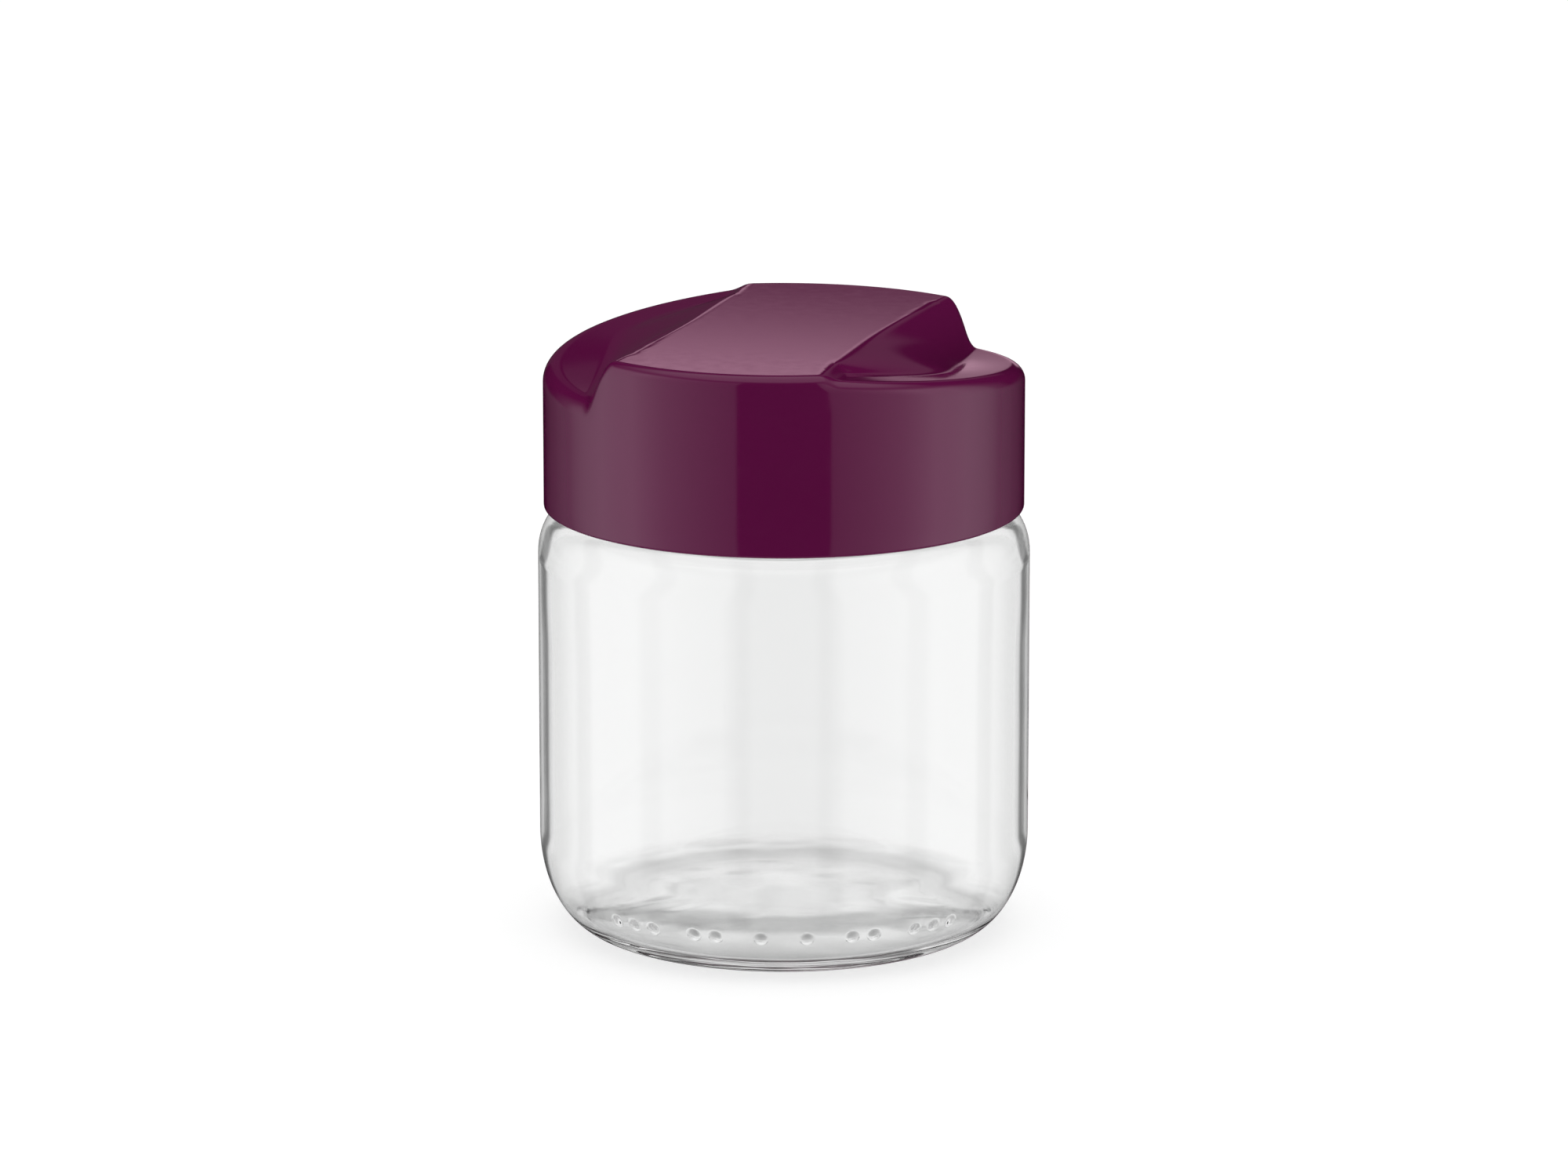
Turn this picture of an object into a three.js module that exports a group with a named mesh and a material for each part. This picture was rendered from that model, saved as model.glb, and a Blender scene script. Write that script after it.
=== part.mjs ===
// Clear glass storage jar with a plastic screw lid whose top is moulded into a twist grip.
// Millimetres, +Z up. The origin is the centre of the ring that the jar stands on.
import * as THREE from 'three';

// Glass body
const bodyRadius = 43.25;
const bodyWall = 2.4;
const heelRun = 10.7;
const heelRise = 17.5;
const innerHeelRun = 5.6;
const innerHeelRise = 12;
const bearingWidth = 1.6;
const pushUp = 1.2;
const baseThickness = 3.2;
const innerDome = 1.5;
const shoulderTop = 75;
const shoulderRun = 4.85;
const shoulderRise = 7.6;
const innerShoulderDrop = 1.4;
const innerShoulderRise = 13;

// Glass neck
const neckWall = 2.5;
const neckHeight = 18.4;
const rimRounding = 1.1;

// Clearances between pieces
const fitGap = 0.3;
const lidGap = 0.7;
const plugGap = 0.5;
const threadRoom = 2.1;

// Seal ring and inner plate
const sealOverhang = 0.5;
const sealThickness = 1.7;
const sealRounding = 0.5;
const plateThickness = 1.6;
const plugWall = 1.5;
const plugDepth = 3.5;
const snapBeadHeight = 1.2;
const snapBeadReach = 0.7;

// Lid moulding
const skirtWall = 1.7;
const topWall = 1.8;
const lidRimRounding = 2;
const lidRimSoftening = 1.2;
const skirtEdgeRounding = 0.5;

// Twist grip: a raised band across the lid, the same after half a turn, with a ramp on each side
const gripRise = 8;
const gripTilt = THREE.MathUtils.degToRad(19.5);
const gripHalfWidth = 17.5;
const gripEdgeRadius = 294;
const bandCrown = 0.15;
const rampStartDrop = 1;
const rampStart = THREE.MathUtils.degToRad(281);
const rampSpan = THREE.MathUtils.degToRad(114);
const rampEase = 1.2;
const ledgeWidth = 8.5;
const wallFootInset = 10.7;
const wallFootSlope = 0.228;
const wallFootCorner = 2;
const leastWallRun = 1.6;
const edgeSoftnessLow = 0.8;
const edgeSoftnessTall = 2.1;
const footSoftness = 1.2;

// Facets
const roundFacets = 64;
const wideArcSteps = 6;
const narrowArcSteps = 4;
const edgeArcSteps = 2;
const lidFacets = 96;
const bandRings = 5;
const wallRings = 6;
const ledgeRings = 3;
const rimRings = 3;
const ceilingRings = 9;
const leastRingStep = 0.5;
const crossingHalvings = 24;
const slopeStep = 0.05;

// Levels and radii that follow from the sizes above
const bearingOuter = bodyRadius - heelRun;
const bearingInner = bearingOuter - bearingWidth;
const bodyInner = bodyRadius - bodyWall;
const baseTop = pushUp + baseThickness - innerDome;
const shoulderStart = shoulderTop - shoulderRise;
const neckRadius = bodyRadius - shoulderRun;
const neckInner = neckRadius - neckWall;
const rimTop = shoulderTop + neckHeight;
const sealBottom = rimTop + fitGap;
const sealTop = sealBottom + sealThickness;
const plateBottom = sealTop + fitGap;
const plateTop = plateBottom + plateThickness;
const plugRadius = neckInner - plugGap;
const sealInner = plugRadius + fitGap;
const sealOuter = neckRadius + sealOverhang;
const lidBottom = shoulderTop + lidGap;
const skirtInner = neckRadius + threadRoom;
const lidRadius = skirtInner + skirtWall;
const plateRadius = skirtInner - fitGap;
const floorLow = plateTop + fitGap + topWall;
const gripTop = floorLow + gripRise;
const rampRise = gripRise - rampStartDrop;
const ledgeRadius = lidRadius - ledgeWidth;
const wallFootOffset = lidRadius - wallFootInset;

// Points along a quarter ellipse or any part of one, in the plane of a revolved profile
function arc(centreRadius, centreHeight, run, rise, fromDegrees, toDegrees, steps) {
  const points = [];
  for (let step = 0; step <= steps; step += 1) {
    const angle = THREE.MathUtils.degToRad(fromDegrees + ((toDegrees - fromDegrees) * step) / steps);
    points.push(new THREE.Vector2(centreRadius + run * Math.cos(angle), centreHeight + rise * Math.sin(angle)));
  }
  return points;
}

// Points of a shallow dome in the same plane, from the axis to its edge
function dome(radius, edgeHeight, rise, steps) {
  const points = [];
  for (let step = 0; step <= steps; step += 1) {
    const share = step / steps;
    points.push(new THREE.Vector2(radius * share, edgeHeight + rise * (1 - share ** 2)));
  }
  return points;
}

// Points of a smooth S-shaped change from one radius to another, going up
function taper(lowRadius, highRadius, startHeight, rise, steps) {
  const points = [];
  for (let step = 0; step <= steps; step += 1) {
    const share = step / steps;
    const change = (1 - Math.cos(Math.PI * share)) / 2;
    points.push(new THREE.Vector2(THREE.MathUtils.lerp(lowRadius, highRadius, change), startHeight + rise * share));
  }
  return points;
}

// A solid of revolution about Z
function revolve(profile) {
  const geometry = new THREE.LatheGeometry(profile, roundFacets);
  geometry.rotateX(Math.PI / 2);
  return geometry;
}

// The jar in one blown wall: hollow underside, heel, body, shoulder, neck and rim, then the inside back down
function glassJar() {
  const floorRadius = bodyInner - innerHeelRun;
  const innerHeelTop = baseTop + innerHeelRise;
  const innerShoulderStart = shoulderStart - innerShoulderDrop;
  return revolve([
    ...dome(bearingInner, 0, pushUp, wideArcSteps),
    ...arc(bearingOuter, heelRise, heelRun, heelRise, -90, 0, wideArcSteps),
    ...arc(neckRadius, shoulderStart, shoulderRun, shoulderRise, 0, 90, wideArcSteps),
    ...arc(neckRadius - rimRounding, rimTop - rimRounding, rimRounding, rimRounding, 0, 90, edgeArcSteps),
    ...arc(neckInner + rimRounding, rimTop - rimRounding, rimRounding, rimRounding, 90, 180, edgeArcSteps),
    ...taper(bodyInner, neckInner, innerShoulderStart, innerShoulderRise, wideArcSteps).reverse(),
    ...arc(floorRadius, innerHeelTop, innerHeelRun, innerHeelRise, 0, -90, wideArcSteps),
    ...dome(floorRadius, baseTop, innerDome, narrowArcSteps).reverse().slice(1),
  ]);
}

// Flat disc with a ring below it that drops into the mouth
function innerPlate() {
  return revolve([
    new THREE.Vector2(0, plateBottom),
    new THREE.Vector2(plugRadius - plugWall, plateBottom),
    new THREE.Vector2(plugRadius - plugWall, plateBottom - plugDepth),
    new THREE.Vector2(plugRadius, plateBottom - plugDepth),
    new THREE.Vector2(plugRadius, plateBottom),
    new THREE.Vector2(plateRadius, plateBottom),
    new THREE.Vector2(plateRadius, plateTop),
    new THREE.Vector2(0, plateTop),
  ]);
}

// Soft ring with rounded edges, round the plate's plug and over the glass rim
function sealRing() {
  const inner = sealInner + sealRounding;
  const outer = sealOuter - sealRounding;
  const low = sealBottom + sealRounding;
  const high = sealTop - sealRounding;
  const profile = [
    ...arc(inner, low, sealRounding, sealRounding, 180, 270, edgeArcSteps),
    ...arc(outer, low, sealRounding, sealRounding, 270, 360, edgeArcSteps),
    ...arc(outer, high, sealRounding, sealRounding, 0, 90, edgeArcSteps),
    ...arc(inner, high, sealRounding, sealRounding, 90, 180, edgeArcSteps),
  ];
  return revolve([...profile, profile[0].clone()]);
}

// Zero below the corner and a straight rise beyond it, rounded over the given softness on each side
function roundedRamp(distance, softness) {
  if (distance <= -softness) {
    return 0;
  }
  if (distance >= softness) {
    return distance;
  }
  return (distance + softness) ** 2 / (4 * softness);
}

// The smaller of two lengths, with the corner between them rounded
function softSmaller(first, second, corner) {
  return (first + second - Math.hypot(first - second, corner)) / 2;
}

// A point of the lid seen from the grip: across the band and along it, on the half that the point is in
function gripPlace(x, y) {
  const across = x * Math.cos(gripTilt) - y * Math.sin(gripTilt);
  const along = x * Math.sin(gripTilt) + y * Math.cos(gripTilt);
  const half = across < 0 ? -1 : 1;
  return { across: half * across, along: half * along, angle: Math.atan2(half * y, half * x) };
}

// The wall beside the band at one place along it: where its top edge is and how far it runs to its foot
function gripWall(along) {
  const edge = gripHalfWidth + along ** 2 / (2 * gripEdgeRadius);
  const ledge = Math.sqrt(Math.max(0, ledgeRadius ** 2 - Math.min(along, 0) ** 2));
  const foot = softSmaller(ledge, wallFootOffset - wallFootSlope * along, wallFootCorner);
  return { edge, run: Math.max(leastWallRun, foot - edge) };
}

// How far down the wall a point lies: 0 at the band's edge, 1 at the foot
function wallShare(x, y) {
  const place = gripPlace(x, y);
  const wall = gripWall(place.along);
  return (place.across - wall.edge) / wall.run;
}

// Depth of the ramp below the band, which grows round the lid from the ramp's start
function rampDepth(angle) {
  const turned = THREE.MathUtils.euclideanModulo(angle - rampStart + Math.PI, 2 * Math.PI) - Math.PI;
  const share = THREE.MathUtils.clamp(turned / rampSpan, 0, 1);
  return gripRise - rampRise * (1 - share) ** rampEase;
}

// Height of the lid's top at a point: slightly crowned along the band, down the wall, then along the ramp
function topHeight(x, y) {
  const place = gripPlace(x, y);
  const wall = gripWall(place.along);
  const tall = THREE.MathUtils.smoothstep(place.along, 0, lidRadius);
  const edgeSoftness = THREE.MathUtils.lerp(edgeSoftnessLow, edgeSoftnessTall, tall);
  const past = place.across - wall.edge;
  const fallen = (roundedRamp(past, edgeSoftness) - roundedRamp(past - wall.run, footSoftness)) / wall.run;
  const bandDrop = bandCrown * (place.along / lidRadius) ** 2;
  return gripTop - THREE.MathUtils.lerp(bandDrop, rampDepth(place.angle), fallen);
}

// Underside of the top, an even wall below it, and never lower than the room the plate needs
function ceilingHeight(x, y) {
  const height = topHeight(x, y);
  const slopeX = (topHeight(x + slopeStep, y) - height) / slopeStep;
  const slopeY = (topHeight(x, y + slopeStep) - height) / slopeStep;
  return Math.max(height - topWall * Math.hypot(1, slopeX, slopeY), floorLow - topWall);
}

// Where a ray from the axis passes the given share of the wall, within the limits
function wallCrossing(angle, share, least, most) {
  let low = least;
  let high = most;
  for (let halving = 0; halving < crossingHalvings; halving += 1) {
    const middle = (low + high) / 2;
    if (wallShare(middle * Math.cos(angle), middle * Math.sin(angle)) < share) {
      low = middle;
    } else {
      high = middle;
    }
  }
  return high;
}

// Radii along one ray that put the lid's rings on the band's edge and on the wall's foot
function topRadii(angle, topRadius) {
  const ledgeRoom = ledgeRings * leastRingStep;
  const wallRoom = wallRings * leastRingStep;
  const edge = wallCrossing(angle, 0, 0, topRadius - ledgeRoom - wallRoom);
  const foot = wallCrossing(angle, 1, edge + wallRoom, topRadius - ledgeRoom);
  const radii = [];
  for (let ring = 1; ring <= bandRings; ring += 1) {
    radii.push((edge * ring) / bandRings);
  }
  for (let ring = 1; ring <= wallRings; ring += 1) {
    radii.push(edge + ((foot - edge) * ring) / wallRings);
  }
  for (let ring = 1; ring <= ledgeRings; ring += 1) {
    radii.push(foot + ((topRadius - foot) * ring) / ledgeRings);
  }
  return radii;
}

// One line of points down the lid's whole wall at an angle: out over the top, down the skirt and back inside
function lidSection(angle) {
  const cosine = Math.cos(angle);
  const sine = Math.sin(angle);
  const level = (radius, height) => new THREE.Vector3(radius * cosine, radius * sine, height);
  const onTop = (radius) => topHeight(radius * cosine, radius * sine);
  const onCeiling = (radius) => ceilingHeight(radius * cosine, radius * sine);
  const rimDepth = gripTop - onTop(lidRadius);
  const rounding = lidRimRounding + (lidRimSoftening * rimDepth) / gripRise;
  const topRadius = lidRadius - rounding;
  const beadTop = plateBottom - fitGap;
  const beadBottom = beadTop - snapBeadHeight;
  const points = topRadii(angle, topRadius).map((radius) => level(radius, onTop(radius)));
  for (let ring = 1; ring <= rimRings; ring += 1) {
    const turn = (Math.PI / 2) * (ring / rimRings);
    const radius = topRadius + rounding * Math.sin(turn);
    points.push(level(radius, onTop(radius) - rounding * (1 - Math.cos(turn))));
  }
  points.push(
    level(lidRadius, lidBottom + skirtEdgeRounding),
    level(lidRadius - skirtEdgeRounding, lidBottom),
    level(skirtInner + skirtEdgeRounding, lidBottom),
    level(skirtInner, lidBottom + skirtEdgeRounding),
    level(skirtInner, beadBottom),
    level(skirtInner - snapBeadReach, beadBottom + snapBeadReach / 2),
    level(skirtInner - snapBeadReach, beadTop - snapBeadReach / 2),
    level(skirtInner, beadTop),
  );
  for (let ring = 0; ring < ceilingRings; ring += 1) {
    const radius = skirtInner * (1 - ring / ceilingRings);
    points.push(level(radius, onCeiling(radius)));
  }
  return points;
}

// A closed surface through sections set round the axis, from one point on the axis to another
function closedRound(sections, firstPole, lastPole) {
  const rings = sections[0].length;
  const count = sections.length;
  const positions = [firstPole, ...sections.flat(), lastPole].flatMap((point) => [point.x, point.y, point.z]);
  const vertex = (section, ring) => 1 + (section % count) * rings + ring;
  const last = 1 + count * rings;
  const triangles = [];
  for (let section = 0; section < count; section += 1) {
    triangles.push(0, vertex(section, 0), vertex(section + 1, 0));
    for (let ring = 0; ring + 1 < rings; ring += 1) {
      const here = vertex(section, ring);
      const next = vertex(section + 1, ring);
      triangles.push(here, here + 1, next + 1, here, next + 1, next);
    }
    triangles.push(vertex(section, rings - 1), last, vertex(section + 1, rings - 1));
  }
  const geometry = new THREE.BufferGeometry();
  geometry.setAttribute('position', new THREE.Float32BufferAttribute(positions, 3));
  geometry.setIndex(triangles);
  geometry.computeVertexNormals();
  return geometry;
}

// Hollow lid: the sculpted top, its rounded rim, the skirt and the bead that the plate snaps over
function lidShell() {
  const sections = [];
  for (let facet = 0; facet < lidFacets; facet += 1) {
    sections.push(lidSection((2 * Math.PI * facet) / lidFacets));
  }
  return closedRound(
    sections,
    new THREE.Vector3(0, 0, topHeight(0, 0)),
    new THREE.Vector3(0, 0, ceilingHeight(0, 0)),
  );
}

// A named piece with its own finish
function piece(name, geometry, finish) {
  const mesh = new THREE.Mesh(geometry, new THREE.MeshStandardMaterial(finish));
  mesh.name = name;
  return mesh;
}

const jar = new THREE.Group();
jar.add(
  piece('glass_jar', glassJar(), { color: 0xeef2f1, roughness: 0.03, metalness: 0, transparent: true, opacity: 0.35 }),
  piece('seal_ring', sealRing(), { color: 0xe9e6de, roughness: 0.6, metalness: 0 }),
  piece('inner_plate', innerPlate(), { color: 0x5a1240, roughness: 0.4, metalness: 0 }),
  piece('lid_shell', lidShell(), { color: 0x5a1240, roughness: 0.15, metalness: 0 }),
);

export default jar;
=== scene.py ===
"""Clear glass storage jar with a plum screw lid, finished for rendering. Metres, +Z up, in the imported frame."""
import math

import bpy
import numpy as np
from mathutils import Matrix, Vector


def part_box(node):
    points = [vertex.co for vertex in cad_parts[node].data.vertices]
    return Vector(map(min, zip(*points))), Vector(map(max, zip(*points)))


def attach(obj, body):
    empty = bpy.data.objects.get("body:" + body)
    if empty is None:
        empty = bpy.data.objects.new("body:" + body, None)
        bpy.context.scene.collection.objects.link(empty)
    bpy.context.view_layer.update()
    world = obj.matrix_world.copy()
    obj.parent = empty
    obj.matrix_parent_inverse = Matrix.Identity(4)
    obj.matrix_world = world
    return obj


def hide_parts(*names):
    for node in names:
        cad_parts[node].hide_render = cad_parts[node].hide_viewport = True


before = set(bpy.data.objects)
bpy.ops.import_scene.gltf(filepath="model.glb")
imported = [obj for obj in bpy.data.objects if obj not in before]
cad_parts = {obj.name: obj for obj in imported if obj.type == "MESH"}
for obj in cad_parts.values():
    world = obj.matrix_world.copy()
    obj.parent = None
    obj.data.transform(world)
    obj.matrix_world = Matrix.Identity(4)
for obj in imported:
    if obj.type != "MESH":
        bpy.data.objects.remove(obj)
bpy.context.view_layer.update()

MM = 0.001

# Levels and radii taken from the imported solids
glass_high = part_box("glass_jar")[1]
seal_low, seal_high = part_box("seal_ring")
plate_low, plate_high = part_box("inner_plate")
lid_low, lid_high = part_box("lid_shell")
BODY_RADIUS = glass_high.x
RIM_TOP = glass_high.z
SEAL_RADIUS = seal_high.x
PLATE_RADIUS = plate_high.x
LID_RADIUS = lid_high.x
LID_BOTTOM = lid_low.z
GRIP_TOP = lid_high.z

# Glass wall
BODY_WALL = 2.4 * MM
HEEL_RUN = 10.7 * MM
HEEL_RISE = 17.5 * MM
INNER_HEEL_RUN = 5.6 * MM
INNER_HEEL_RISE = 12 * MM
BEARING_WIDTH = 1.6 * MM
PUSH_UP = 1.2 * MM
BASE_THICKNESS = 3.2 * MM
INNER_DOME = 1.5 * MM
NECK_HEIGHT = 18.4 * MM
SHOULDER_RUN = 4.85 * MM
SHOULDER_RISE = 7.6 * MM
INNER_SHOULDER_LOW = 66 * MM
INNER_SHOULDER_TALL = 13 * MM
NECK_WALL = 2.5 * MM
RIM_ROUNDING = 1.1 * MM

# Mould dots on the heel, counted in steps from the front, the same on both sides
DOT_STEPS = (1, 3, 4, 6, 7, 8)
DOT_PITCH = math.radians(5.5)
DOT_LEVEL = 8.2 * MM
DOT_RADIUS = 1.1 * MM
DOT_HEIGHT = 0.5 * MM

# Screw thread, two starts and right-handed, on the neck and inside the lid
THREAD_STARTS = 2
THREAD_LEAD = 9 * MM
THREAD_RUN_OUT = 1.4 * MM
CREST_NARROWING = 4
NECK_RIDGE = 1.2 * MM
NECK_RIDGE_WIDTH = 2.3 * MM
NECK_THREAD_ABOVE = 3.4 * MM
NECK_THREAD_BELOW = 3 * MM
LID_RIDGE = 1.5 * MM
LID_RIDGE_WIDTH = 1.7 * MM
LID_THREAD_ABOVE = 2 * MM
LID_THREAD_TALL = 8.5 * MM

# Lid moulding
SKIRT_WALL = 1.7 * MM
TOP_WALL = 1.8 * MM
FIT_GAP = 0.3 * MM
LID_RIM_ROUNDING = 2 * MM
LID_RIM_SOFTENING = 1.2 * MM
SKIRT_EDGE_ROUNDING = 0.5 * MM
SNAP_BEAD_HEIGHT = 1.2 * MM
SNAP_BEAD_REACH = 0.7 * MM
SKIRT_INNER = LID_RADIUS - SKIRT_WALL

# Twist grip: a raised band across the lid, the same after half a turn, with a ramp on each side
GRIP_RISE = 8 * MM
GRIP_TILT = math.radians(19.5)
GRIP_HALF_WIDTH = 17.5 * MM
GRIP_EDGE_RADIUS = 294 * MM
BAND_CROWN = 0.15 * MM
RAMP_START_DROP = 1 * MM
RAMP_START = math.radians(281)
RAMP_SPAN = math.radians(114)
RAMP_EASE = 1.2
LEDGE_WIDTH = 8.5 * MM
LEDGE_RADIUS = LID_RADIUS - LEDGE_WIDTH
WALL_FOOT_INSET = 10.7 * MM
WALL_FOOT_OFFSET = LID_RADIUS - WALL_FOOT_INSET
WALL_FOOT_SLOPE = 0.228
WALL_FOOT_CORNER = 2 * MM
LEAST_WALL_RUN = 1.6 * MM
EDGE_SOFTNESS_LOW = 0.8 * MM
EDGE_SOFTNESS_TALL = 2.1 * MM
FOOT_SOFTNESS = 1.2 * MM

# Plate and seal
PLUG_RADIUS = 35.4 * MM
PLUG_WALL = 1.5 * MM
PLATE_THICKNESS = 1.6 * MM
PLATE_ROUNDING = 0.35 * MM
SEAL_INNER = PLUG_RADIUS + FIT_GAP
SEAL_ROUNDING = 0.5 * MM

# Fineness of the meshes
FRONT_SEGMENTS = 280
FRONT_SPAN = math.radians(100)
REAR_SEGMENTS = 180
LID_SEGMENTS = 400
ROUND_SEGMENTS = 192
CROSSING_HALVINGS = 30
LEAST_RING_STEP = 0.08 * MM
SLOPE_STEP = 0.02 * MM
SAME_PLACE = 0.01 * MM

# Steps along the outline of the glass, with the heel in arcs that are finest where the mould dots are
FLOOR_STEPS = 11
INNER_HEEL_STEPS = 28
INNER_WALL_STEPS = 4
INNER_SHOULDER_STEPS = 14
GLASS_RIM_STEPS = 5
NECK_STEPS = 38
SHOULDER_STEPS = 14
BODY_STEPS = 8
HEEL_ARCS = ((0, -20, 6), (-21, -44, 32), (-46, -90, 13))
HOLLOW_STEPS = 19

# Rings of the lid, with those of the grip's wall going a little past its edge and its foot
BAND_RINGS = 18
WALL_RINGS = 30
WALL_RINGS_REACH = (-0.12, 1.12)
LEDGE_RINGS = 12
RIM_RINGS = 10
SKIRT_RINGS = 8
SKIRT_EDGE_STEPS = 5
SKIRT_INNER_STEPS = 46
SNAP_BEAD_STEPS = 8
CEILING_RINGS = 28

# Steps along the outlines of the plate and the seal
PLATE_STEPS = 6
PLATE_CORNER_STEPS = 4
SEAL_CORNER_STEPS = 5

# Ripple of moulded surfaces, and the slow waves in the base of the glass
FINE_GRAIN = 7.0
RIPPLE_HEIGHT = 0.02 * MM
WAVE_HEIGHT = 0.3 * MM
WAVE_LEVELS = (6 * MM, 3 * MM)
WAVE_STRENGTHS = (0.04, 0.8)

# Photograph's camera
CAMERA_DISTANCE = 1.300
CAMERA_HEIGHT = 0.373161
CAMERA_PITCH = 0.236
FOCAL_PIXELS = 9682.7
PHOTO_WIDTH = 2000
SENSOR_WIDTH = 36.0

# Panels that gloss reflects, as degrees round from the camera's side or above the horizon, with levels
HALF_TURN = 180
SIDE_PANELS = ((0, 0.0), (22, 0.0), (22.8, 0.34), (42, 0.56), (58, 0.8), (77, 1.28), (97, 1.13), (110, 0.74),
               (124, 0.27), (142, 0.09), (155, 0.03), (165, 0.0))
SIDE_RISE = ((-90, 0.0), (-40, 0.0), (-22, 1.0), (35, 1.0), (50, 0.0))
SIDE_GAP_ROUND = ((0, 0.0), (118, 0.0), (140, 1.0), (180, 1.0))
SIDE_GAP_RISE = ((-90, 0.0), (-6, 0.0), (2, 1.0), (90, 1.0))
TOP_PANEL = ((-90, 0.0), (45, 0.0), (60, 0.8), (90, 0.8))
FLOOR_PANEL = ((-90, 0.8), (-65, 0.8), (-45, 0.0), (90, 0.0))
BACK_PANEL = ((0, 0.0), (160, 0.0), (165, 1.0), (180, 1.0))

# Rose cards behind the jar that the lid's top reflects: where each fades in and out across, and its levels
BACK_CARDS = (
    ((-0.032, -0.02, 0.02, 0.055),
     ((-90, 0.0), (9.3, 0.0), (10.4, 0.09), (11.5, 0.31), (12, 0.47), (12.7, 0.84),
      (13.4, 0.8), (15, 0.42), (17, 0.19), (20, 0.08), (24, 0.06), (45, 0.05))),
    ((-0.005, 0.005, 0.12, 0.18),
     ((-90, 0.1), (-6, 0.1), (-3, 0.5), (-0.5, 0.68), (0.2, 0.56), (0.8, 0.0))),
    ((-0.005, 0.005, 0.055, 0.09),
     ((-90, 0.0), (0.2, 0.0), (0.8, 0.5), (1.6, 0.38), (6, 0.34), (7, 0.0))),
    ((-0.062, -0.05, -0.012, -0.005),
     ((-90, 0.0), (5.5, 0.0), (6.5, 0.6), (9, 0.6), (10, 0.0))),
    ((-0.3, -0.25, -0.06, -0.04),
     ((-90, 0.0), (-8, 0.0), (-5, 0.05), (45, 0.05), (50, 0.0))),
    ((0.09, 0.12, 0.16, 0.3),
     ((-90, 0.0), (12, 0.0), (15, 0.1), (30, 0.15), (45, 0.0))),
)
CARD_COLOUR = (1, 0.6, 0.77, 1)
LEAST_LIGHT = 0.001

# Panels seen through the glass, with darker gaps between them
PANEL_COUNT = 8
GAP_EDGE = 0.3
GAP_MIDDLE = -0.7
GAP_LEVEL = 0.88
EDGE_GAP_START = -0.4
EDGE_GAP_MIDDLE = -0.97
EDGE_GAP_LEVEL = 0.25
GLASS_RISE = ((-90, 0.9), (-60, 0.9), (-40, 1.0), (25, 1.0), (50, 0.8), (90, 0.7))

# Panels seen by light that bounced inside the glass, by how often it passed or bounced
ONE_WALL = 2.5
ONE_BOUNCE = 0.5
INSIDE_PANELS = ((0, 0.3), (20, 0.32), (30, 0.8), (60, 1.0), (180, 1.0))
INSIDE_RISE = ((-90, 0.85), (-40, 1.0), (25, 1.0), (50, 0.8), (90, 0.7))
FLOOR_GAP_ROUND = ((0, 0.0), (170, 0.0), (173, 1.0), (176, 1.0), (178.2, 0.2), (180, 0.1))
FLOOR_GAP_RISE = ((-90, 0.0), (12.5, 0.0), (14.5, 0.9), (17, 0.9), (18.5, 0.2), (22, 0.0))

# Room light, floor, a glowing disc with painted shade under the jar, and lamps
PLAIN_LEVEL = 0.52
FLOOR_RADIUS = 5.0
FLOOR_DROP = 0.1 * MM
FLOOR_COLOUR = 0.42
FLOOR_GLOW = 0.66
# A glowing disc under the jar, seen only through the glass: its levels by radius are a painted contact shadow,
# darkest round where the glass stands, with a random mottle
TABLE_RADIUS = 60 * MM
TABLE_FADE = 46 * MM
TABLE_DROP = 0.05 * MM
TABLE_BRIGHTEST = 1.06
PAINTED_TABLE_LEVELS = ((0, 0.66), (12, 0.8), (20, 0.94), (26, 0.84), (30, 0.66), (33, 0.56), (37, 0.6),
                (41, 0.7), (45, 0.84))
TABLE_MOTTLE = 0.08
TABLE_MOTTLE_RANGE = (0.35, 0.65)
# Painted shade along an arc across the front half of the disc, fading out towards the back
TABLE_SHADE_CENTRE = 22 * MM
TABLE_SHADE_RADIUS = 27 * MM
TABLE_SHADE_REACH = (3.5 * MM, 10 * MM)
TABLE_SHADE_END = (3 * MM, 10 * MM)
TABLE_SHADE = 0.55
# Painted shade across the front of the disc
PAINTED_FRONT_SHADE = (-8 * MM, -25 * MM)
PAINTED_FRONT_SHADE_LEVEL = 0.55
STAGE_SEGMENTS = 96
LAMP_SIZE = 2.4
LAMP_HEIGHT = 2.0
LAMP_POWER = 26.0
SIDE_LAMP_SIZE = 1.2
SIDE_LAMP_PLACE = (1.5, 0.35)
SIDE_LAMP_POWER = 3.0
LIGHT_BOUNCES = 32


# Node helpers

def feed(tree, socket, value):
    """Links a socket to the value if that is an output, and otherwise sets the value on it."""
    if isinstance(value, bpy.types.NodeSocket):
        tree.links.new(value, socket)
    else:
        socket.default_value = value


def node(tree, kind, settings=None, inputs=None):
    """A new node with its settings and its inputs, by name or number."""
    made = tree.nodes.new(kind)
    for name, value in (settings or {}).items():
        setattr(made, name, value)
    for name, value in (inputs or {}).items():
        feed(tree, made.inputs[name], value)
    return made


def maths(tree, operation, *values):
    """The result of one sum on numbers and outputs."""
    made = node(tree, "ShaderNodeMath", {"operation": operation}, dict(enumerate(values)))
    return made.outputs[0]


def ease(tree, value, start, end, low=0.0, high=1.0):
    """A smooth step from low to high as the value goes from start to end."""
    made = node(tree, "ShaderNodeMapRange", {"interpolation_type": "SMOOTHSTEP"},
                {"Value": value, "From Min": start, "From Max": end, "To Min": low, "To Max": high})
    return made.outputs["Result"]


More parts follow.
